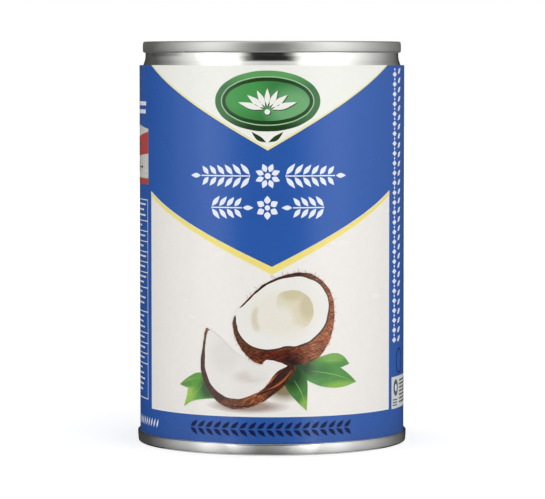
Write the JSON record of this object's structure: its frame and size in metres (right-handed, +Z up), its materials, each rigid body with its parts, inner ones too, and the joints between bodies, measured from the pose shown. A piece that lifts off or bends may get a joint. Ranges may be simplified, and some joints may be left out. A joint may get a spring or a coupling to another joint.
{
  "type": "food can",
  "caption": "Steel food can with a necked-in top, two seamed ends with expansion rings and a printed paper label round the wall.",
  "frame": {"origin": "centre of the bottom seam's foot, on the can's axis", "axes": "+Z up along the can's axis; -Y towards the front of the label"},
  "size_m": [0.075, 0.075, 0.1111],
  "materials": {
    "tinplate_wall": "bright tinplate",
    "tinplate_end": "satin tinplate",
    "label_paper": "semi-gloss printed paper"
  },
  "bodies": {
    "root": {"can_body": "tinplate_wall", "top_end": "tinplate_end", "bottom_end": "tinplate_end", "label": "label_paper"}
  },
  "joints": []
}
